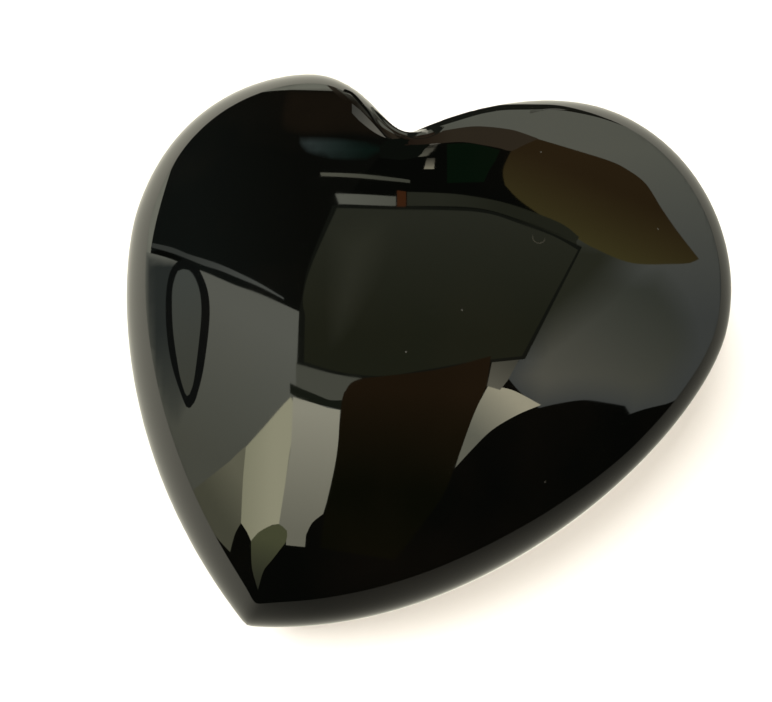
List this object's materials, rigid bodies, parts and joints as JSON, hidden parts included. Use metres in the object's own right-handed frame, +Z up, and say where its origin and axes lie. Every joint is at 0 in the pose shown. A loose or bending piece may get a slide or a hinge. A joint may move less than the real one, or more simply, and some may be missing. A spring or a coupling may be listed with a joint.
{
  "type": "polished stone heart",
  "caption": "Puffy, uneven heart carved from one piece of black tourmaline and polished like glass, with a small flat rest face underneath.",
  "frame": {"origin": "on the surface that the stone rests on, under the middle of its outline", "axes": "+Z up, away from the rest face; +Y from the heart's tip towards its cleft; +X towards the larger lobe"},
  "size_m": [0.08, 0.0756, 0.0275],
  "materials": {
    "black_tourmaline": "mirror polish on near-black stone"
  },
  "bodies": {
    "root": {"polished_heart": "black_tourmaline"}
  },
  "joints": []
}
